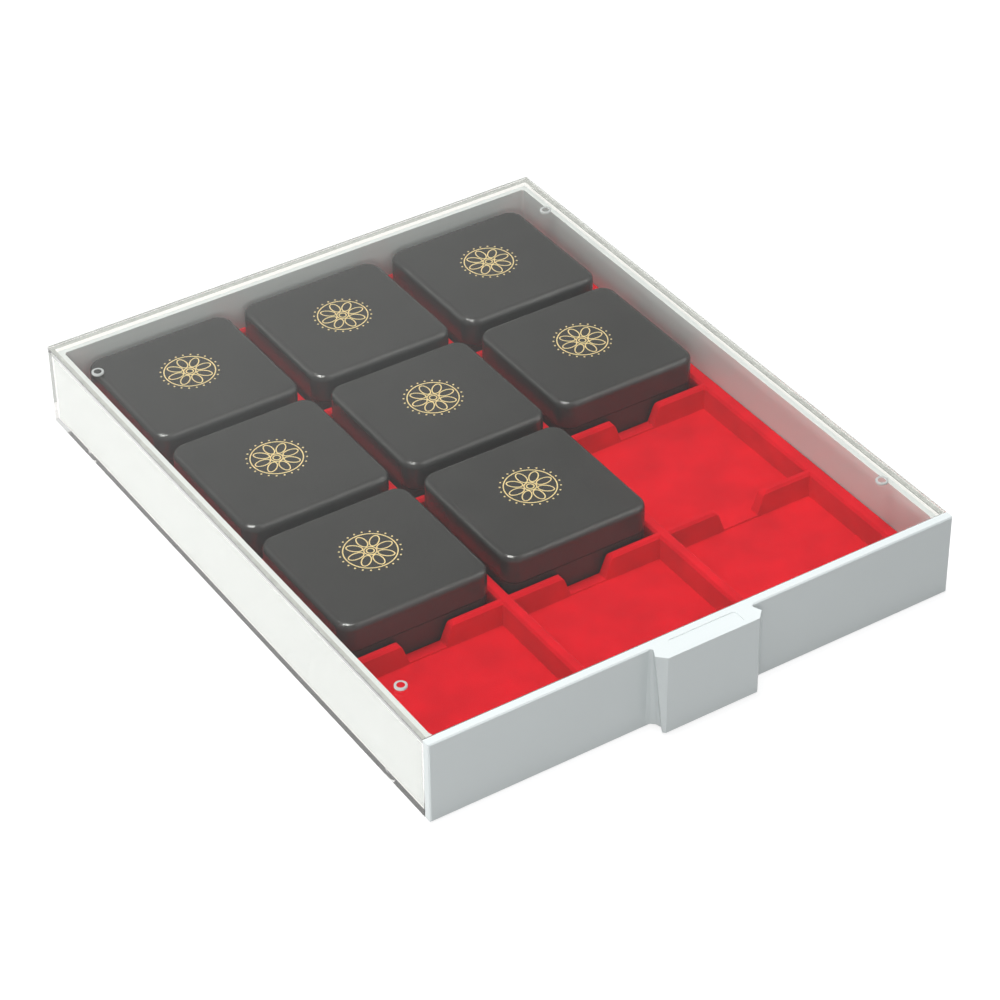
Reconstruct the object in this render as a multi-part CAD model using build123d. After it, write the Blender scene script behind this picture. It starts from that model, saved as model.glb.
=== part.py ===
from build123d import *
from math import atan2, cos, degrees, radians, sin
import os

os.makedirs("parts", exist_ok=True)

# Sizes in millimetres. X runs across the front, the drawer pulls out along -Y, Z is up.
# The origin is at the bottom centre of the whole box, its finger grip included.

# The whole box
box_width = 236.0
body_depth = 296.0
box_height = 37.0

# Clear casing: a shell with floor, sides and back, and a top panel bonded onto its walls
casing_wall = 2.5
casing_floor = 2.0
cover_thickness = 2.0
casing_corner = 0.8

# Stacking studs on the cover and the sockets under the floor that take them
stud_radius = 2.5
stud_height = 0.8
stud_side_inset = 8.8
stud_end_inset = 28.6
socket_clearance = 0.3
socket_depth = 1.0

# Drawer: tray, front plate and grip in one moulding
plate_thickness = 3.7
plate_lift = 0.3
plate_edge = 0.5
front_gap = 0.3
side_gap = 0.4
back_gap = 0.5
running_gap = 0.3
tray_floor = 1.6
tray_wall = 2.3
tray_headroom = 1.3
tray_front_corner = 5.0
tray_back_corner = 1.0

# Finger grip in the middle of the front plate
grip_reach = 8.0
grip_root_top = 44.8
grip_front_top = 48.0
grip_root_bottom = 41.0
grip_front_bottom = 43.6
grip_bottom_lift = 1.2
grip_edge_top = 3.5
grip_edge_bottom = 1.0
grip_hollow_top = 1.2
grip_hollow_bottom = 4.2
hollow_steps = 3
grip_skin = 2.0
label_side_margin = 7.1
label_front_margin = 1.6
label_recess = 0.35
label_corner = 1.0
label_setback = 0.6

# Flocked insert, one thin formed sheet with square pockets
column_count = 3
row_count = 4
side_margin = 3.3
end_margin = 0.5
insert_gap = 0.4
insert_skin = 0.8
insert_rise = 11.1
pocket_draft = 0.65
lip_height = 1.1
lip_flare = 1.0
notch_foot = 16.4
notch_mouth = 22.8
notch_shoulder = 3.5
notch_sill = 0.8

# Coin case: hinged lid on a slightly smaller base
case_spacing = 5.5
case_clearance = 0.3
case_height = 24.0
case_base_height = 11.45
parting_gap = 0.3
base_setback = 0.2
case_corner = 6.7
lid_crown = 2.8
crown_steps = 2
case_wall = 1.8
inner_corner = 3.0
opening_relief = 0.5

# Hinge inside the back wall of each case: a pin in the notched cheeks of the base
pin_radius = 0.6
pin_overhang = 0.2
pin_clearance = 0.05
lug_wall = 1.2
lug_side_gap = 0.3
lid_lug_width = 24.0
cheek_width = 4.5

# Lining of each case: a velvet pad with a seat for a square capsule, a satin panel in the lid
lining_clearance = 0.3
pad_height = 10.0
seat_border = 3.4
seat_depth = 5.5
lining_panel = 1.4

# How far a cut or a joined block reaches past the face that it meets
overlap = 1.0

# Which pockets hold a case: row from the front, columns from the left
filled_pockets = [
    (2, 1),
    (2, 2),
    (3, 1),
    (3, 2),
    (3, 3),
    (4, 1),
    (4, 2),
    (4, 3),
]

# Places worked out from the sizes
half_width = box_width / 2
front_face = -(body_depth + grip_reach) / 2 + grip_reach
back_face = front_face + body_depth
plate_back = front_face + plate_thickness
casing_front = plate_back + front_gap
casing_top = box_height - cover_thickness
casing_middle = (casing_front + back_face) / 2
casing_length = back_face - casing_front
tray_bottom = casing_floor + running_gap
tray_deck = tray_bottom + tray_floor
tray_top = casing_top - tray_headroom
tray_half = half_width - casing_wall - side_gap
tray_back = back_face - casing_wall - back_gap
inside_half = tray_half - tray_wall
inside_back = tray_back - tray_wall
inside_length = inside_back - plate_back
inside_middle = (plate_back + inside_back) / 2
label_width = grip_root_top - 2 * label_side_margin
label_depth = grip_reach + label_setback - label_front_margin
insert_top = tray_deck + insert_rise
insert_corner = tray_front_corner - insert_gap
column_pitch = 2 * (inside_half - side_margin) / column_count
row_pitch = (inside_length - 2 * end_margin) / row_count
case_size = min(column_pitch, row_pitch) - case_spacing
pocket_deck = tray_deck + insert_skin
pocket_size = case_size + 2 * case_clearance
case_bottom = pocket_deck
lid_bottom = case_base_height + parting_gap
hinge_height = case_base_height + parting_gap / 2
case_half = case_size / 2
inner_half = case_half - case_wall
lug_half = pin_radius + pin_clearance + lug_wall
hinge_line = inner_half - base_setback - lug_side_gap - lug_half
pin_length = lid_lug_width + 2 * (lug_side_gap + cheek_width + pin_overhang)


def block(x0, x1, y0, y1, z0, z1):
    """A box between two opposite corners."""
    return Pos((x0 + x1) / 2, (y0 + y1) / 2, (z0 + z1) / 2) * Box(x1 - x0, y1 - y0, z1 - z0)


def rounded(width, depth, radius, z):
    """A rounded rectangle lying at height z."""
    return Plane.XY.offset(z) * RectangleRounded(width, depth, radius)


def cut_corners(width, depth, corner, z):
    """A rectangle with its four corners cut off, lying at height z."""
    flat = Rectangle(width, depth)
    return Plane.XY.offset(z) * chamfer(flat.vertices(), corner)


def stud_places():
    """The four stacking points, near the corners of the casing."""
    x = half_width - stud_side_inset
    y = casing_length / 2 - stud_end_inset
    return [(sx * x, casing_middle + sy * y) for sx in (-1, 1) for sy in (-1, 1)]


def casing_shell():
    """Clear floor, sides and back in one moulding, open at the front and the top."""
    shell = block(-half_width, half_width, casing_front, back_face, 0, casing_top)
    corners = shell.edges().filter_by(Axis.Z).sort_by(Axis.Y)[-2:]
    shell = chamfer(corners, casing_corner)
    inner = half_width - casing_wall
    shell -= block(
        -inner,
        inner,
        casing_front - overlap,
        back_face - casing_wall,
        casing_floor,
        casing_top + overlap,
    )
    socket_radius = stud_radius + socket_clearance
    for x, y in stud_places():
        shell -= Pos(x, y, socket_depth / 2) * Cylinder(socket_radius, socket_depth)
    return shell


def casing_cover():
    """Clear top panel on the walls of the shell, with a round stacking stud near each corner."""
    panel = block(-half_width, half_width, casing_front, back_face, casing_top, box_height)
    corners = panel.edges().filter_by(Axis.Z).sort_by(Axis.Y)[-2:]
    panel = chamfer(corners, casing_corner)
    for x, y in stud_places():
        panel += Pos(x, y, box_height + stud_height / 2) * Cylinder(stud_radius, stud_height)
    return panel


def grip_section(root, front, edge, hollow, z):
    """Outline of the grip at one height: a hollow at each root, flaring sides, cut front corners."""
    half_root = root / 2
    half_front = front / 2
    front_y = front_face - grip_reach
    side = [(half_root + hollow, front_face + overlap)]
    for step in range(hollow_steps + 1):
        turn = radians(90 * step / hollow_steps)
        side.append((half_root + hollow * (1 - sin(turn)), front_face - hollow * (1 - cos(turn))))
    side += [(half_front, front_y + edge), (half_front - edge, front_y)]
    other_side = [(-x, y) for x, y in reversed(side)]
    return Plane.XY.offset(z) * make_face(Polyline(*side, *other_side, close=True))


def drawer():
    """Open tray with the front plate and its finger grip, one moulding."""
    tray = block(-tray_half, tray_half, plate_back - overlap, tray_back, tray_bottom, tray_top)
    plate = block(-half_width, half_width, front_face, plate_back, plate_lift, box_height)
    front_edges = plate.edges().group_by(Axis.Y)[0]
    plate = chamfer(front_edges, plate_edge)
    low_section = grip_section(
        grip_root_bottom, grip_front_bottom, grip_edge_bottom, grip_hollow_bottom, grip_bottom_lift
    )
    high_section = grip_section(
        grip_root_top, grip_front_top, grip_edge_top, grip_hollow_top, box_height
    )
    grip = loft([low_section, high_section], ruled=True)
    body = plate + grip + tray

    # The hollow of the tray, with wide corners at the plate and tight ones at the back
    hollow = Pos(0, inside_middle, 0) * rounded(
        2 * inside_half, inside_length, tray_front_corner, tray_deck
    )
    hollow = extrude(hollow, tray_top - tray_deck + overlap)
    back_strip = Pos(0, inside_back - tray_front_corner, 0) * cut_corners(
        2 * inside_half, 2 * tray_front_corner, tray_back_corner, tray_deck
    )
    hollow += extrude(back_strip, tray_top - tray_deck + overlap)
    body -= hollow

    # The grip is hollow from below, as a moulding of even wall is
    pocket_front = front_face - grip_reach + grip_skin
    pocket_half = grip_root_bottom / 2 - grip_skin
    pocket_back = plate_back - grip_skin
    body -= block(
        -pocket_half, pocket_half, pocket_front, pocket_back, -overlap, box_height - grip_skin
    )

    # Shallow label field on top of the grip
    label_middle = front_face + label_setback - label_depth / 2
    field = Pos(0, label_middle, 0) * cut_corners(
        label_width, label_depth, label_corner, box_height - label_recess
    )
    body -= extrude(field, label_recess + overlap)
    return body


def pocket_places():
    """Centres of all pockets as (row, column, x, y), row 1 at the front."""
    places = []
    for row in range(1, row_count + 1):
        for column in range(1, column_count + 1):
            x = (column - (column_count + 1) / 2) * column_pitch
            y = inside_middle + (row - (row_count + 1) / 2) * row_pitch
            places.append((row, column, x, y))
    return places


def square(size, z):
    """A square lying at height z."""
    return Plane.XY.offset(z) * Rectangle(size, size)


def pocket_cutter():
    """A drafted square pocket with a flared lip."""
    lip = insert_top - lip_height
    lip_size = pocket_size + 2 * pocket_draft
    mouth_size = lip_size + 2 * lip_flare
    wall = loft([square(pocket_size, pocket_deck), square(lip_size, lip)], ruled=True)
    mouth = loft([square(lip_size, lip), square(mouth_size, insert_top)], ruled=True)
    return wall + mouth


def notch_cutter():
    """Finger notch between two pockets, rounded shoulders and a low sill."""
    sill = pocket_deck + notch_sill
    foot = notch_foot / 2
    mouth = notch_mouth / 2
    wide = mouth + 2 * notch_shoulder
    high = insert_top + overlap
    outline = Polyline(
        (-foot, sill),
        (foot, sill),
        (mouth, insert_top),
        (wide, insert_top),
        (wide, high),
        (-wide, high),
        (-wide, insert_top),
        (-mouth, insert_top),
        close=True,
    )
    face = make_face(outline)
    shoulders = [v for v in face.vertices() if abs(v.Y - insert_top) < 1e-6 and abs(v.X) < wide - 1e-6]
    face = fillet(shoulders, notch_shoulder)
    thickness = row_pitch - pocket_size + 2 * overlap
    return extrude(Plane.XZ * face, thickness / 2, both=True)


def flocked_insert():
    """Formed sheet with square pockets, full dividers between columns, lugs between rows."""
    half = inside_half - insert_gap
    length = inside_length - 2 * insert_gap
    block_face = Pos(0, inside_middle, 0) * rounded(2 * half, length, insert_corner, tray_deck)
    sheet = extrude(block_face, insert_top - tray_deck)
    cutter = pocket_cutter()
    for row, column, x, y in pocket_places():
        sheet -= Pos(x, y, 0) * cutter
    notch = notch_cutter()
    for row, column, x, y in pocket_places():
        if row < row_count:
            sheet -= Pos(x, y + row_pitch / 2, 0) * notch

    # The sheet is hollow under its column dividers and side rims
    channel_top = insert_top - insert_skin - lip_height
    foot_width = column_pitch - pocket_size - 2 * insert_skin
    head_width = foot_width - 2 * pocket_draft
    channel_length = length - 2 * insert_corner
    for k in range(1, column_count):
        x = (k - column_count / 2) * column_pitch
        channel = loft(
            [
                Plane.XY.offset(tray_deck) * Rectangle(foot_width, channel_length),
                Plane.XY.offset(channel_top) * Rectangle(head_width, channel_length),
            ]
        )
        sheet -= Pos(x, inside_middle, 0) * channel
    rim_inner = (column_count - 1) / 2 * column_pitch + pocket_size / 2 + insert_skin
    rim_outer = half - insert_skin
    y0 = inside_middle - channel_length / 2
    y1 = inside_middle + channel_length / 2
    for side in (-1, 1):
        a = min(side * (rim_inner + pocket_draft), side * rim_outer)
        b = max(side * (rim_inner + pocket_draft), side * rim_outer)
        sheet -= block(a, b, y0, y1, tray_deck, channel_top)
    return sheet


def case_lid():
    """Crowned lid of a coin case, with the lug that turns on the hinge pin."""
    straight = case_height - lid_crown - lid_bottom
    shell = extrude(rounded(case_size, case_size, case_corner, lid_bottom), straight)
    inset = 0
    low = case_height - lid_crown
    for step in range(1, crown_steps + 1):
        angle = radians(90 * step / crown_steps)
        next_inset = lid_crown * (1 - cos(angle))
        high = case_height - lid_crown * (1 - sin(angle))
        size = case_size - 2 * inset
        slope = degrees(atan2(next_inset - inset, high - low))
        shell += extrude(rounded(size, size, case_corner - inset, low), high - low, taper=slope)
        inset = next_inset
        low = high
    inner = 2 * inner_half
    cavity = cut_corners(inner, inner, inner_corner, lid_bottom)
    shell -= extrude(cavity, case_height - lid_bottom - case_wall)

    # The lug reaches down over the pin from the back wall and is slotted from below
    half = lid_lug_width / 2
    lug_front = hinge_line - lug_half
    lug_back = hinge_line + lug_half
    slot_half = pin_radius + pin_clearance
    slot_top = hinge_height + slot_half
    lug_bottom = hinge_height - pin_radius
    lug_top = slot_top + lug_wall
    lug = block(-half, half, lug_front, lug_back, lug_bottom, lug_top)
    lug += block(-half, half, hinge_line, inner_half, lid_bottom, lug_top)
    slot = block(-half, half, hinge_line - slot_half, hinge_line + slot_half, lug_bottom, slot_top)
    return shell + lug - slot


def case_base():
    """Shallow base of a coin case, with a notched cheek for each end of the hinge pin."""
    size = case_size - 2 * base_setback
    shell = extrude(rounded(size, size, case_corner - base_setback, 0), case_base_height)
    inner = size - 2 * case_wall
    cavity = cut_corners(inner, inner, inner_corner, case_wall)
    shell -= extrude(cavity, case_base_height)

    # The rim is lower along the hinge, so that the lid's back edge can turn down
    relief_bottom = case_base_height - opening_relief
    shell -= block(-size / 2, size / 2, inner / 2, size / 2, relief_bottom, case_base_height)
    notch_half = pin_radius + pin_clearance
    notch_bottom = hinge_height - notch_half
    cheek_top = hinge_height + pin_radius
    for side in (-1, 1):
        near = side * (lid_lug_width / 2 + lug_side_gap)
        far = near + side * cheek_width
        x0, x1 = min(near, far), max(near, far)
        cheek = block(x0, x1, hinge_line - lug_half, inner / 2, case_wall, relief_bottom)
        cheek += block(x0, x1, hinge_line - lug_half, hinge_line + lug_half, relief_bottom, cheek_top)
        cheek -= block(x0, x1, hinge_line - notch_half, hinge_line + notch_half, notch_bottom, cheek_top)
        shell += cheek
    return shell


def hinge_pin():
    """Thin steel pin in the cheeks of the base and the lug of the lid."""
    return Pos(0, hinge_line, hinge_height) * Rot(0, 90, 0) * Cylinder(pin_radius, pin_length)


def velvet_pad():
    """Pad that fills the base in front of the hinge, with a seat for a square coin capsule."""
    inner = 2 * (inner_half - base_setback - lining_clearance)
    front = -inner / 2
    back = hinge_line - lug_half - lining_clearance
    middle = (front + back) / 2
    seat_size = back - front - 2 * seat_border
    pad = Pos(0, middle, 0) * cut_corners(inner, back - front, inner_corner, case_wall)
    pad = extrude(pad, pad_height)
    seat_middle = case_wall + pad_height - seat_depth / 2
    return pad - Pos(0, middle, seat_middle) * Box(seat_size, seat_size, seat_depth)


def lid_lining():
    """Satin panel under the top of the lid."""
    inner = 2 * (inner_half - lining_clearance)
    bottom = case_height - case_wall - lining_panel
    return extrude(cut_corners(inner, inner, inner_corner, bottom), lining_panel)


def write(shape, name):
    """Write one piece under its node's name."""
    export_step(shape, f"parts/{name}.step")


write(casing_shell(), "clear_casing_shell")
write(casing_cover(), "clear_casing_cover")
write(drawer(), "drawer_with_grip")
write(flocked_insert(), "flocked_insert")

case_pieces = {
    "lid": case_lid(),
    "base": case_base(),
    "hinge_pin": hinge_pin(),
    "velvet_pad": velvet_pad(),
    "lid_lining": lid_lining(),
}
for row, column, x, y in pocket_places():
    if (row, column) in filled_pockets:
        for piece, shape in case_pieces.items():
            write(Pos(x, y, case_bottom) * shape, f"coin_case_r{row}c{column}_{piece}")
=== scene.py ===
import math

import bmesh
import bpy
from mathutils import Matrix, Vector


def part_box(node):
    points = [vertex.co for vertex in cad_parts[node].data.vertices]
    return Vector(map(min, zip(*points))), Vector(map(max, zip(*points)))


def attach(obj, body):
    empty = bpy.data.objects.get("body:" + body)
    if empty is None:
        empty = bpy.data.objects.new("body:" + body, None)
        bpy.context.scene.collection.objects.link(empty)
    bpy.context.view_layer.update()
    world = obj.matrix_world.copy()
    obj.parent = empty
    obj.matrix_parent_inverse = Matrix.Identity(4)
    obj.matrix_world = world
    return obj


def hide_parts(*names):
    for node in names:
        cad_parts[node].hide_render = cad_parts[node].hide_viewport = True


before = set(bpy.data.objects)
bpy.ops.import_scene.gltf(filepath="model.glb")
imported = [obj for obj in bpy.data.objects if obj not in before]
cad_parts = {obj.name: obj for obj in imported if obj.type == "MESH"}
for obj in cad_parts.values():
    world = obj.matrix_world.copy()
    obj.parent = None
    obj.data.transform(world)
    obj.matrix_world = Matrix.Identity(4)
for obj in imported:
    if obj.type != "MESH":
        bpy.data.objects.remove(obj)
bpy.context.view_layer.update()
mm = 0.001
closeBy = 0.01 * mm  # heights this near to each other count as one
white = (1.0, 1.0, 1.0)
# the occupied pockets, by row from the front and column from the left
cases = ["r2c1", "r2c2", "r3c1", "r3c2", "r3c3", "r4c1", "r4c2", "r4c3"]


# Helpers for the nodes of a material, a group or the world

def give(tree, value, socket):
    # a number, a colour or the output of another node
    if isinstance(value, bpy.types.NodeSocket):
        tree.links.new(value, socket)
    elif isinstance(value, tuple):
        socket.default_value = (*value, 1.0)
    else:
        socket.default_value = value


def mathNode(tree, operation, *values):
    node = tree.nodes.new("ShaderNodeMath")
    node.operation = operation
    for value, socket in zip(values, node.inputs):
        give(tree, value, socket)
    return node.outputs[0]


def mixNode(tree, kind, factor, first, second, blend="MIX"):
    # first where the factor is 0 and second where it is 1
    node = tree.nodes.new("ShaderNodeMix")
    node.data_type = kind
    node.blend_type = blend
    give(tree, factor, node.inputs["Factor"])
    give(tree, first, node.inputs["A"])
    give(tree, second, node.inputs["B"])
    return node.outputs["Result"]


def mapRange(tree, value, fromMin, fromMax, toMin, toMax):
    node = tree.nodes.new("ShaderNodeMapRange")
    node.inputs["From Min"].default_value = fromMin
    node.inputs["From Max"].default_value = fromMax
    node.inputs["To Min"].default_value = toMin
    node.inputs["To Max"].default_value = toMax
    give(tree, value, node.inputs["Value"])
    return node.outputs["Result"]


def isScattered(tree, path):
    # 1 for light that has left a matt surface on its way
    return mathNode(tree, "GREATER_THAN", path.outputs["Diffuse Depth"], 0.5)


# Node groups for the materials

def addSockets(group, inputs, outputs):
    for name, value in inputs.items():
        socket = group.interface.new_socket(name, in_out="INPUT", socket_type="NodeSocketFloat")
        socket.default_value = value
    for name in outputs:
        group.interface.new_socket(name, in_out="OUTPUT", socket_type="NodeSocketFloat")


grainNoise = {"detail": 3.0, "roughness": 0.6, "patchDetail": 2.0, "patchMean": 0.5}


def makeGrainGroup():
    # fine grain as a height, and slow patches of lighter and darker tone
    group = bpy.data.node_groups.new("fineGrain", "ShaderNodeTree")
    addSockets(group, {"Grain Scale": 2000.0, "Patch Scale": 60.0, "Patch Amount": 0.2}, ["Height", "Tone"])
    nodes, links = group.nodes, group.links
    given = nodes.new("NodeGroupInput")
    out = nodes.new("NodeGroupOutput")
    place = nodes.new("ShaderNodeTexCoord")
    grain = nodes.new("ShaderNodeTexNoise")
    grain.inputs["Detail"].default_value = grainNoise["detail"]
    grain.inputs["Roughness"].default_value = grainNoise["roughness"]
    patch = nodes.new("ShaderNodeTexNoise")
    patch.inputs["Detail"].default_value = grainNoise["patchDetail"]
    for noise, scale in ((grain, "Grain Scale"), (patch, "Patch Scale")):
        links.new(place.outputs["Object"], noise.inputs["Vector"])
        links.new(given.outputs[scale], noise.inputs["Scale"])
    spread = mathNode(group, "SUBTRACT", patch.outputs["Fac"], grainNoise["patchMean"])
    tone = mathNode(group, "MULTIPLY_ADD", spread, given.outputs["Patch Amount"], 1.0)
    links.new(grain.outputs["Fac"], out.inputs["Height"])
    links.new(tone, out.inputs["Tone"])
    return group


def makeSpeckGroup():
    # a mask of small scattered specks, for lint
    group = bpy.data.node_groups.new("looseSpecks", "ShaderNodeTree")
    addSockets(group, {"Scale": 300.0, "Size": 0.12, "Share": 0.03}, ["Mask"])
    nodes, links = group.nodes, group.links
    given = nodes.new("NodeGroupInput")
    out = nodes.new("NodeGroupOutput")
    place = nodes.new("ShaderNodeTexCoord")
    cells = nodes.new("ShaderNodeTexVoronoi")
    split = nodes.new("ShaderNodeSeparateColor")
    links.new(place.outputs["Object"], cells.inputs["Vector"])
    links.new(given.outputs["Scale"], cells.inputs["Scale"])
    links.new(cells.outputs["Color"], split.inputs["Color"])
    near = mathNode(group, "LESS_THAN", cells.outputs["Distance"], given.outputs["Size"])
    chosen = mathNode(group, "LESS_THAN", split.outputs["Red"], given.outputs["Share"])
    links.new(mathNode(group, "MULTIPLY", near, chosen), out.inputs["Mask"])
    return group


grainGroup = makeGrainGroup()
speckGroup = makeSpeckGroup()


# Materials: each look holds the shader's own values under these names, and the values of its grain

shaderSockets = {
    "roughness": "Roughness",
    "ior": "IOR",
    "metallic": "Metallic",
    "transmission": "Transmission Weight",
    "specular": "Specular IOR Level",
    "sheen": "Sheen Weight",
    "sheenRoughness": "Sheen Roughness",
}


class Finish:
    # a material with its nodes at hand and a grain group in place

    def __init__(self, name, look):
        self.material = bpy.data.materials.new(name)
        self.material.use_nodes = True
        self.tree = self.material.node_tree
        self.shader = self.tree.nodes["Principled BSDF"]
        for value, socket in shaderSockets.items():
            if value in look:
                self.shader.inputs[socket].default_value = look[value]
        self.grain = self.group(grainGroup)
        self.grain.inputs["Grain Scale"].default_value = look["grainScale"]
        self.grain.inputs["Patch Scale"].default_value = look["patchScale"]
        self.grain.inputs["Patch Amount"].default_value = look["patchAmount"]
        self.bump(self.grain.outputs["Height"], look["bumpStrength"], look["bumpHeight"])

    def group(self, tree):
        node = self.tree.nodes.new("ShaderNodeGroup")
        node.node_tree = tree
        return node

    def bump(self, height, strength, distance):
        node = self.tree.nodes.new("ShaderNodeBump")
        node.inputs["Strength"].default_value = strength
        node.inputs["Distance"].default_value = distance
        self.tree.links.new(height, node.inputs["Height"])
        self.tree.links.new(node.outputs["Normal"], self.shader.inputs["Normal"])

    def toned(self, colour):
        # the colour made lighter and darker by the patches
        return mixNode(self.tree, "RGBA", 1.0, colour, self.grain.outputs["Tone"], "MULTIPLY")

    def paint(self, colour):
        self.tree.links.new(colour, self.shader.inputs["Base Color"])


def makePlain(name, look):
    finish = Finish(name, look)
    finish.paint(finish.toned(look["colour"]))
    return finish.material


clearLook = {
    "colour": (0.99, 0.98, 0.955),
    "shadeTint": (0.995, 0.99, 0.975),
    "guideDepth": 3.0,
    "roughness": 0.015,
    "ior": 1.49,
    "transmission": 1.0,
    "grainScale": 30.0,
    "patchScale": 8.0,
    "patchAmount": 0.03,
    "bumpStrength": 0.02,
    "bumpHeight": 0.02 * mm,
}


def makeClearPlastic():
    finish = Finish("clearPlastic", clearLook)
    finish.paint(finish.toned(clearLook["colour"]))
    tree = finish.tree
    through = tree.nodes.new("ShaderNodeBsdfTransparent")
    through.inputs["Color"].default_value = (*clearLook["shadeTint"], 1.0)
    path = tree.nodes.new("ShaderNodeLightPath")
    # light that the walls would guide on and on leaves them, and scattered light passes straight through
    trapped = mathNode(tree, "GREATER_THAN", path.outputs["Ray Depth"], clearLook["guideDepth"])
    passing = mathNode(tree, "MAXIMUM", trapped, isScattered(tree, path))
    passing = mathNode(tree, "MAXIMUM", passing, path.outputs["Is Shadow Ray"])
    choose = tree.nodes.new("ShaderNodeMixShader")
    tree.links.new(passing, choose.inputs["Fac"])
    tree.links.new(finish.shader.outputs["BSDF"], choose.inputs[1])
    tree.links.new(through.outputs["BSDF"], choose.inputs[2])
    tree.links.new(choose.outputs["Shader"], tree.nodes["Material Output"].inputs["Surface"])
    return finish.material


clearPlastic = makeClearPlastic()

# the bonded joint and the rims and sides of the studs, where the clear plastic is matt
frostLook = {
    "colour": (0.47, 0.485, 0.47),
    "roughness": 0.55,
    "grainScale": 1400.0,
    "patchScale": 260.0,
    "patchAmount": 0.5,
    "bumpStrength": 0.2,
    "bumpHeight": 0.05 * mm,
}
frostedPlastic = makePlain("frostedPlastic", frostLook)

greyLook = {
    "colour": (0.715, 0.755, 0.755),
    "roughness": 0.32,
    "grainScale": 900.0,
    "patchScale": 25.0,
    "patchAmount": 0.05,
    "bumpStrength": 0.06,
    "bumpHeight": 0.05 * mm,
}
greyPlastic = makePlain("greyPlastic", greyLook)

flockLook = {
    # painted light and shade of the pile: a shaded and a lit copy of the same red
    "shadedPileRed": (0.56, 0.003, 0.010),
    "litPileRed": (0.80, 0.006, 0.020),
    "lint": (0.85, 0.75, 0.72),
    "lintScale": 180.0,
    "lintSize": 0.035,
    "lintShare": 0.02,
    "roughness": 0.95,
    "specular": 0.1,
    "sheen": 0.5,
    "sheenRoughness": 0.5,
    "sheenTint": (1.0, 0.10, 0.12),
    "grainScale": 2600.0,
    "patchScale": 55.0,
    "patchAmount": 0.6,
    "bumpStrength": 0.5,
    "bumpHeight": 0.25 * mm,
}


def makeRedFlock():
    finish = Finish("redFlock", flockLook)
    tree = finish.tree
    finish.shader.inputs["Sheen Tint"].default_value = (*flockLook["sheenTint"], 1.0)
    # painted shade and light: the red is deeper in the low spots of the grain and lighter on its high
    # spots, using the same noise as the bump
    litAndShadedPile = mixNode(tree, "RGBA", finish.grain.outputs["Height"], flockLook["shadedPileRed"], flockLook["litPileRed"])
    specks = finish.group(speckGroup)
    specks.inputs["Scale"].default_value = flockLook["lintScale"]
    specks.inputs["Size"].default_value = flockLook["lintSize"]
    specks.inputs["Share"].default_value = flockLook["lintShare"]
    finish.paint(mixNode(tree, "RGBA", specks.outputs["Mask"], finish.toned(litAndShadedPile), flockLook["lint"]))
    return finish.material


redFlock = makeRedFlock()

leatherLook = {
    "colour": (0.047, 0.047, 0.047),
    "roughness": 0.22,
    "grainScale": 1500.0,
    "patchScale": 45.0,
    "patchAmount": 0.25,
    "bumpStrength": 0.05,
    "bumpHeight": 0.08 * mm,
}
blackLeatherette = makePlain("blackLeatherette", leatherLook)

foilLook = {
    "colour": (0.93, 0.76, 0.38),
    "roughness": 0.38,
    "metallic": 0.25,
    "grainScale": 2500.0,
    "patchScale": 300.0,
    "patchAmount": 0.5,
    "bumpStrength": 0.15,
    "bumpHeight": 0.05 * mm,
}
goldFoil = makePlain("goldFoil", foilLook)

velvetLook = {
    "colour": (0.015, 0.015, 0.035),
    "roughness": 0.95,
    "sheen": 0.4,
    "grainScale": 2200.0,
    "patchScale": 60.0,
    "patchAmount": 0.4,
    "bumpStrength": 0.5,
    "bumpHeight": 0.2 * mm,
}
darkVelvet = makePlain("darkVelvet", velvetLook)

satinLook = {
    "colour": (0.80, 0.78, 0.71),
    "roughness": 0.35,
    "grainScale": 1200.0,
    "patchScale": 90.0,
    "patchAmount": 0.2,
    "bumpStrength": 0.2,
    "bumpHeight": 0.1 * mm,
}
paleSatin = makePlain("paleSatin", satinLook)

wireLook = {
    "colour": (0.58, 0.58, 0.57),
    "roughness": 0.3,
    "metallic": 1.0,
    "grainScale": 4000.0,
    "patchScale": 400.0,
    "patchAmount": 0.2,
    "bumpStrength": 0.1,
    "bumpHeight": 0.03 * mm,
}
steelWire = makePlain("steelWire", wireLook)
print("materials made")


# Helpers for the meshes

merging = {"distance": 0.002 * mm, "flatAngle": math.radians(0.5)}
smoothAngle = math.radians(35)


def addBlock(bm, low, high):
    made = bmesh.ops.create_cube(bm, size=1.0)["verts"]
    bmesh.ops.scale(bm, vec=high - low, verts=made)
    bmesh.ops.translate(bm, vec=(low + high) / 2, verts=made)


def sharpEdges(bm, angle):
    return [e for e in bm.edges if len(e.link_faces) == 2 and e.calc_face_angle() > math.radians(angle)]


def softenEdges(bm, edges, width, segments):
    bmesh.ops.bevel(
        bm,
        geom=list(edges),
        offset=width,
        offset_type="OFFSET",
        segments=segments,
        profile=0.5,
        affect="EDGES",
        material=-1,
        clamp_overlap=True,
    )


def softenLongEdges(bm, values):
    sharp = sharpEdges(bm, values["sharpAngle"])
    longEdges = [e for e in sharp if e.calc_length() > values["shortEdge"]]
    softenEdges(bm, longEdges, values["edgeRadius"], values["edgeSegments"])


def isLevel(edge, height):
    return all(abs(v.co.z - height) < closeBy for v in edge.verts)


def mergedCopy(node):
    # the CAD piece as a clean mesh of whole faces
    bm = bmesh.new()
    bm.from_mesh(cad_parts[node].data)
    bmesh.ops.remove_doubles(bm, verts=bm.verts, dist=merging["distance"])
    bmesh.ops.dissolve_limit(bm, angle_limit=merging["flatAngle"], verts=bm.verts, edges=bm.edges)
    return bm


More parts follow.
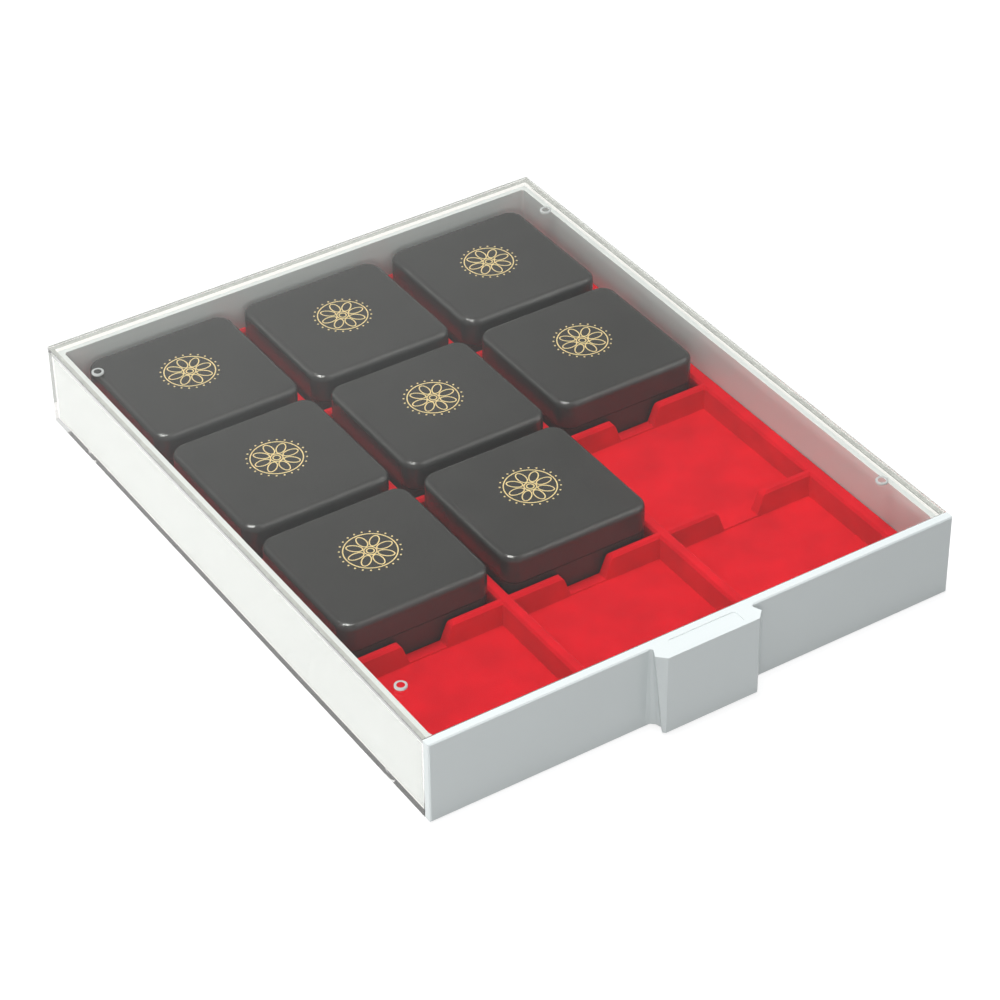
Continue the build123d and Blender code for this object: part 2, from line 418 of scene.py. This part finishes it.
def finishPiece(name, bm, body, materials, replaced=()):
    mesh = bpy.data.meshes.new(name)
    bm.to_mesh(mesh)
    bm.free()
    piece = bpy.data.objects.new(name, mesh)
    bpy.context.scene.collection.objects.link(piece)
    for material in materials:
        mesh.materials.append(material)
    mesh.shade_smooth()
    mesh.set_sharp_from_angle(angle=smoothAngle)
    evenNormals = piece.modifiers.new("evenNormals", "WEIGHTED_NORMAL")  # keeps the flat faces flat
    evenNormals.keep_sharp = True
    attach(piece, body)
    if replaced:
        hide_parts(*replaced)


# Clear casing: the shell and its cover with softened edges and a hair of air in the bonded joint

casing = {
    "sharpAngle": 30,
    "shortEdge": 3 * mm,
    "edgeRadius": 0.22 * mm,
    "edgeSegments": 2,
    "jointGap": 0.03 * mm,
    "jointDepth": 1 * mm,
    "studRim": 0.9 * mm,
    "studTopDepth": 0.1 * mm,
    "studSideDepth": 0.75 * mm,
    "levelNormal": 0.9,
    "wallNormal": 0.5,
}
casingMaterials = [clearPlastic, frostedPlastic]


def facesOnTop(bm, above):
    level = casing["levelNormal"]
    return [f for f in bm.faces if f.normal.z > level and f.calc_center_median().z > above]


def frost(faces):
    for face in faces:
        face.material_index = casingMaterials.index(frostedPlastic)


def makeShell():
    bm = mergedCopy("clear_casing_shell")
    top = max(v.co.z for v in bm.verts)
    for v in bm.verts:
        if v.co.z > top - closeBy:
            v.co.z = top - casing["jointGap"]
    softenLongEdges(bm, casing)
    frost(facesOnTop(bm, top - casing["jointDepth"]))
    finishPiece("clear_shell", bm, "casing", casingMaterials, ["clear_casing_shell"])


def makeCover():
    bm = mergedCopy("clear_casing_cover")
    softenLongEdges(bm, casing)
    studTop = max(v.co.z for v in bm.verts)
    tops = facesOnTop(bm, studTop - casing["studTopDepth"])
    frost(bmesh.ops.inset_individual(bm, faces=tops, thickness=casing["studRim"])["faces"])
    studFoot = studTop - casing["studSideDepth"]
    upright = casing["wallNormal"]
    frost(f for f in bm.faces if abs(f.normal.z) < upright and f.calc_center_median().z > studFoot)
    finishPiece("clear_cover", bm, "casing", casingMaterials, ["clear_casing_cover"])


makeShell()
makeCover()
print("casing made")


# Drawer: the moulding with its edges softened

drawer = {"sharpAngle": 25, "shortEdge": 1.2 * mm, "edgeRadius": 0.35 * mm, "edgeSegments": 2}


def makeDrawer():
    bm = mergedCopy("drawer_with_grip")
    softenLongEdges(bm, drawer)
    finishPiece("drawer_moulding", bm, "drawer", [greyPlastic], ["drawer_with_grip"])


makeDrawer()
print("drawer made")


# Flocked insert: the formed sheet with the soft edges that flock gives

insert = {
    "sharpAngle": 20,
    "edgeRadius": 0.9 * mm,
    "edgeSegments": 3,
    "underside": 3.95 * mm,
    "channelTop": 13.1 * mm,
    "channelCloseBy": 0.05 * mm,
}


def isOutside(edge):
    # edges at the foot and round the tops of the hollows stay sharp, because the walls there are thin
    heights = [v.co.z for v in edge.verts]
    if min(heights) < insert["underside"]:
        return False
    return not all(abs(z - insert["channelTop"]) < insert["channelCloseBy"] for z in heights)


def makeInsert():
    bm = mergedCopy("flocked_insert")
    edges = [e for e in sharpEdges(bm, insert["sharpAngle"]) if isOutside(e)]
    softenEdges(bm, edges, insert["edgeRadius"], insert["edgeSegments"])
    finishPiece("flocked_sheet", bm, "drawer", [redFlock], ["flocked_insert"])


makeInsert()
print("insert made")


# Coin cases: crowned lids

lid = {
    "corner": 6.7 * mm,
    "cornerSegments": 10,
    "crown": 2.8 * mm,
    "crownSegments": 8,
    "wall": 1.8 * mm,
    "sharpAngle": 60,
    "shortEdge": 0.1 * mm,
    "rimSoftness": 0.35 * mm,
    "rimSegments": 3,
    "lugDrop": 0.75 * mm,
}


def makeLid(case):
    node = f"coin_case_{case}_lid"
    low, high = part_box(node)
    rim = low.z + lid["lugDrop"]
    bm = bmesh.new()
    addBlock(bm, Vector((low.x, low.y, rim)), high)
    upright = [e for e in bm.edges if abs(e.verts[0].co.z - e.verts[1].co.z) > closeBy]
    softenEdges(bm, upright, lid["corner"], lid["cornerSegments"])
    topFace = max(bm.faces, key=lambda f: f.calc_center_median().z)
    softenEdges(bm, topFace.edges, lid["crown"], lid["crownSegments"])
    bottomFace = min(bm.faces, key=lambda f: f.calc_center_median().z)
    bmesh.ops.delete(bm, geom=[bottomFace], context="FACES_ONLY")
    bmesh.ops.solidify(bm, geom=bm.faces[:], thickness=lid["wall"])
    bmesh.ops.recalc_face_normals(bm, faces=bm.faces[:])
    sharp = sharpEdges(bm, lid["sharpAngle"])
    rimEdges = [e for e in sharp if isLevel(e, rim) and e.calc_length() > lid["shortEdge"]]
    softenEdges(bm, rimEdges, lid["rimSoftness"], lid["rimSegments"])
    name = f"coin_case_{case}_crowned_lid"
    finishPiece(name, bm, f"lid_{case}", [blackLeatherette], [node])


for case in cases:
    makeLid(case)
print("lids made")


# Gold foil ornament a little behind the middle of each lid: a rosette of thin lines

ornament = {
    "line": 0.5 * mm,
    "height": 0.05 * mm,
    "sunk": 0.05 * mm,
    "rings": (1.5 * mm, 2.5 * mm, 10.6 * mm),
    "ringSegments": 40,
    "petals": 8,
    "petalLength": 6.6 * mm,
    "petalWidth": 3.6 * mm,
    "petalCentre": 6.3 * mm,
    "petalSegments": 20,
    "beads": 24,
    "beadRing": 12.0 * mm,
    "beadRadius": 0.42 * mm,
    "beadSegments": 8,
    "setBack": 2.5 * mm,
}


def addLineRing(bm, radiusX, radiusY, segments):
    # a flat ring of nearly even line width
    rings = []
    for offset in (-ornament["line"] / 2, ornament["line"] / 2):
        made = bmesh.ops.create_circle(bm, cap_ends=False, segments=segments, radius=1.0)["verts"]
        bmesh.ops.scale(bm, vec=(radiusX + offset, radiusY + offset, 1.0), verts=made)
        rings.append(made)
    edges = {e for ring in rings for v in ring for e in v.link_edges}
    bmesh.ops.bridge_loops(bm, edges=list(edges))
    return [v for ring in rings for v in ring]


def addBead(bm, angle):
    segments, radius = ornament["beadSegments"], ornament["beadRadius"]
    made = bmesh.ops.create_circle(bm, cap_ends=True, segments=segments, radius=radius)["verts"]
    place = (ornament["beadRing"] * math.cos(angle), ornament["beadRing"] * math.sin(angle), 0)
    bmesh.ops.translate(bm, vec=place, verts=made)


def makeOrnament(case):
    low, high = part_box(f"coin_case_{case}_lid")
    bm = bmesh.new()
    for radius in ornament["rings"]:
        addLineRing(bm, radius, radius, ornament["ringSegments"])
    halfWidth, halfLength = ornament["petalWidth"] / 2, ornament["petalLength"] / 2
    for k in range(ornament["petals"]):
        petal = addLineRing(bm, halfWidth, halfLength, ornament["petalSegments"])
        bmesh.ops.translate(bm, vec=(0, ornament["petalCentre"], 0), verts=petal)
        turn = Matrix.Rotation(2 * math.pi * k / ornament["petals"], 3, "Z")
        bmesh.ops.rotate(bm, cent=(0, 0, 0), matrix=turn, verts=petal)
    for k in range(ornament["beads"]):
        addBead(bm, 2 * math.pi * k / ornament["beads"])
    bmesh.ops.recalc_face_normals(bm, faces=bm.faces[:])
    thick = bmesh.ops.extrude_face_region(bm, geom=bm.faces[:])["geom"]
    raised = [g for g in thick if isinstance(g, bmesh.types.BMVert)]
    bmesh.ops.translate(bm, vec=(0, 0, ornament["height"] + ornament["sunk"]), verts=raised)
    bmesh.ops.recalc_face_normals(bm, faces=bm.faces[:])
    middle = (low + high) / 2
    place = (middle.x, middle.y + ornament["setBack"], high.z - ornament["sunk"])
    bmesh.ops.translate(bm, vec=place, verts=bm.verts)
    finishPiece(f"coin_case_{case}_foil_ornament", bm, f"lid_{case}", [goldFoil])


for case in cases:
    makeOrnament(case)
print("ornaments made")


# Bases of the coin cases, with the foot softened

base = {"sharpAngle": 60, "edgeRadius": 0.35 * mm, "edgeSegments": 2}


def makeBase(case):
    node = f"coin_case_{case}_base"
    low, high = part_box(node)
    bm = mergedCopy(node)
    foot = [e for e in sharpEdges(bm, base["sharpAngle"]) if isLevel(e, low.z)]
    softenEdges(bm, foot, base["edgeRadius"], base["edgeSegments"])
    name = f"coin_case_{case}_soft_base"
    finishPiece(name, bm, "drawer", [blackLeatherette], [node])


for case in cases:
    makeBase(case)
print("bases made")


# Fittings inside the cases keep their CAD shape

fittings = {"velvet_pad": darkVelvet, "lid_lining": paleSatin, "hinge_pin": steelWire}
for case in cases:
    for fitting, material in fittings.items():
        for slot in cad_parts[f"coin_case_{case}_{fitting}"].material_slots:
            slot.material = material
print("fittings dressed")


# Floor, light and camera

paper = {
    "size": 12.0,
    "sunk": 0.02 * mm,
    "colour": (0.28, 0.28, 0.28),
    "roughness": 0.9,
    "specular": 0.0,
    "glow": 0.82,
}


def mirroredRay(tree, path):
    # 1 for what the camera sees in gloss and through the clear plastic, 0 for light on matt surfaces
    kinds = mathNode(tree, "MAXIMUM", path.outputs["Is Glossy Ray"], path.outputs["Is Transmission Ray"])
    unscattered = mathNode(tree, "SUBTRACT", 1.0, isScattered(tree, path))
    return mathNode(tree, "MULTIPLY", kinds, unscattered)


def makeFloor():
    bm = bmesh.new()
    bmesh.ops.create_grid(bm, x_segments=1, y_segments=1, size=paper["size"] / 2)
    mesh = bpy.data.meshes.new("studioFloor")
    bm.to_mesh(mesh)
    bm.free()
    floor = bpy.data.objects.new("studioFloor", mesh)
    bpy.context.scene.collection.objects.link(floor)
    floor.location.z = -paper["sunk"]
    material = bpy.data.materials.new("palePaper")
    material.use_nodes = True
    tree = material.node_tree
    shader = tree.nodes["Principled BSDF"]
    shader.inputs["Base Color"].default_value = (*paper["colour"], 1.0)
    shader.inputs["Roughness"].default_value = paper["roughness"]
    shader.inputs["Specular IOR Level"].default_value = paper["specular"]
    shader.inputs["Emission Color"].default_value = (*white, 1.0)
    path = tree.nodes.new("ShaderNodeLightPath")
    seen = mathNode(tree, "MAXIMUM", path.outputs["Is Camera Ray"], mirroredRay(tree, path))
    glow = mathNode(tree, "MULTIPLY", seen, paper["glow"])
    tree.links.new(glow, shader.inputs["Emission Strength"])
    mesh.materials.append(material)


studio = {
    "skyTint": (0.96, 0.99, 1.0),
    "horizonLight": 0.14,
    "zenithLight": 0.86,
    "ceiling": 0.22,
    "whiteBelow": 0.25,
    "ceilingAbove": 0.58,
}
# only the window shows in the flat top itself; the others reach what lies under it
spots = {
    "window": {"toward": (0.2126, 0.9036, 0.3721), "edge": 0.89, "light": 0.85},
    "glint": {"toward": (-0.205, 0.018, 0.979), "edge": 0.975, "light": 40.0},
    "leftPanel": {"toward": (-0.44, 0.66, 0.61), "edge": 0.93, "light": 3.0},
    "frontPanel": {"toward": (0.45, -0.30, 0.84), "edge": 0.93, "light": 3.0},
}


def makeWorld():
    # white behind the object, a soft sky for the light, and in reflections a grey ceiling with a window
    world = bpy.data.worlds.new("studio")
    bpy.context.scene.world = world
    world.use_nodes = True
    tree = world.node_tree
    nodes, links = tree.nodes, tree.links
    path = nodes.new("ShaderNodeLightPath")
    direct = path.outputs["Is Camera Ray"]
    direction = nodes.new("ShaderNodeTexCoord").outputs["Generated"]
    split = nodes.new("ShaderNodeSeparateXYZ")
    links.new(direction, split.inputs["Vector"])
    height = split.outputs["Z"]
    sky = mapRange(tree, height, 0.0, 1.0, studio["horizonLight"], studio["zenithLight"])
    room = mapRange(tree, height, studio["whiteBelow"], studio["ceilingAbove"], 1.0, studio["ceiling"])
    for name, spot in spots.items():
        toward = nodes.new("ShaderNodeVectorMath")
        toward.operation = "DOT_PRODUCT"
        toward.inputs[1].default_value = spot["toward"]
        links.new(direction, toward.inputs[0])
        glow = mapRange(tree, toward.outputs["Value"], spot["edge"], 1.0, 0.0, spot["light"])
        if name != "window":
            glow = mathNode(tree, "MULTIPLY", glow, path.outputs["Is Transmission Ray"])
        room = mathNode(tree, "MAXIMUM", room, glow)
    light = mixNode(tree, "FLOAT", mirroredRay(tree, path), sky, room)
    background = nodes["Background"]
    links.new(mixNode(tree, "FLOAT", direct, light, 1.0), background.inputs["Strength"])
    links.new(mixNode(tree, "RGBA", direct, studio["skyTint"], white), background.inputs["Color"])


lamps = {
    "keyLamp": {"place": (-0.10, 0.05, 1.40), "width": 0.36, "height": 0.36, "power": 12.2},
    "sideLamp": {"place": (-1.1, 0.25, 0.03), "width": 1.0, "height": 0.06, "power": 7.0},
    "frontLamp": {"place": (-0.40, -0.70, 0.32), "width": 0.25, "height": 0.25, "power": 1.2},
    "backLamp": {"place": (0.75, 1.00, 0.30), "width": 0.3, "height": 0.3, "power": 3.0},
}


def makeLamp(name, lamp):
    light = bpy.data.lights.new(name, "AREA")
    light.shape = "RECTANGLE"
    light.size = lamp["width"]
    light.size_y = lamp["height"]
    light.energy = lamp["power"]
    holder = bpy.data.objects.new(name, light)
    bpy.context.scene.collection.objects.link(holder)
    holder.location = lamp["place"]
    holder.visible_transmission = False  # shadow rays bring its light through the clear plastic already
    holder.visible_glossy = False  # gloss shows the panels of the world instead
    holder.rotation_euler = (-Vector(lamp["place"])).to_track_quat("-Z", "Y").to_euler()


# the camera as fitted to the photograph
view = {
    "azimuth": -32.4669,
    "elevation": 37.39697,
    "roll": -0.8506,
    "place": (-0.55913, -0.88664, 0.80512),
    "lens": 118.33,
    "sensor": 36.0,
}


def makeCamera():
    lens = bpy.data.cameras.new("photoView")
    lens.lens = view["lens"]
    lens.sensor_width = view["sensor"]
    camera = bpy.data.objects.new("photoView", lens)
    bpy.context.scene.collection.objects.link(camera)
    turned = Matrix.Rotation(math.radians(view["azimuth"]), 4, "Z")
    tilted = Matrix.Rotation(math.radians(90 - view["elevation"]), 4, "X")
    rolled = Matrix.Rotation(math.radians(view["roll"]), 4, "Z")
    camera.matrix_world = Matrix.Translation(view["place"]) @ turned @ tilted @ rolled
    bpy.context.scene.camera = camera


makeFloor()
makeWorld()
for name, lamp in lamps.items():
    makeLamp(name, lamp)
makeCamera()
bpy.context.scene.view_settings.view_transform = "Standard"
print("studio made")
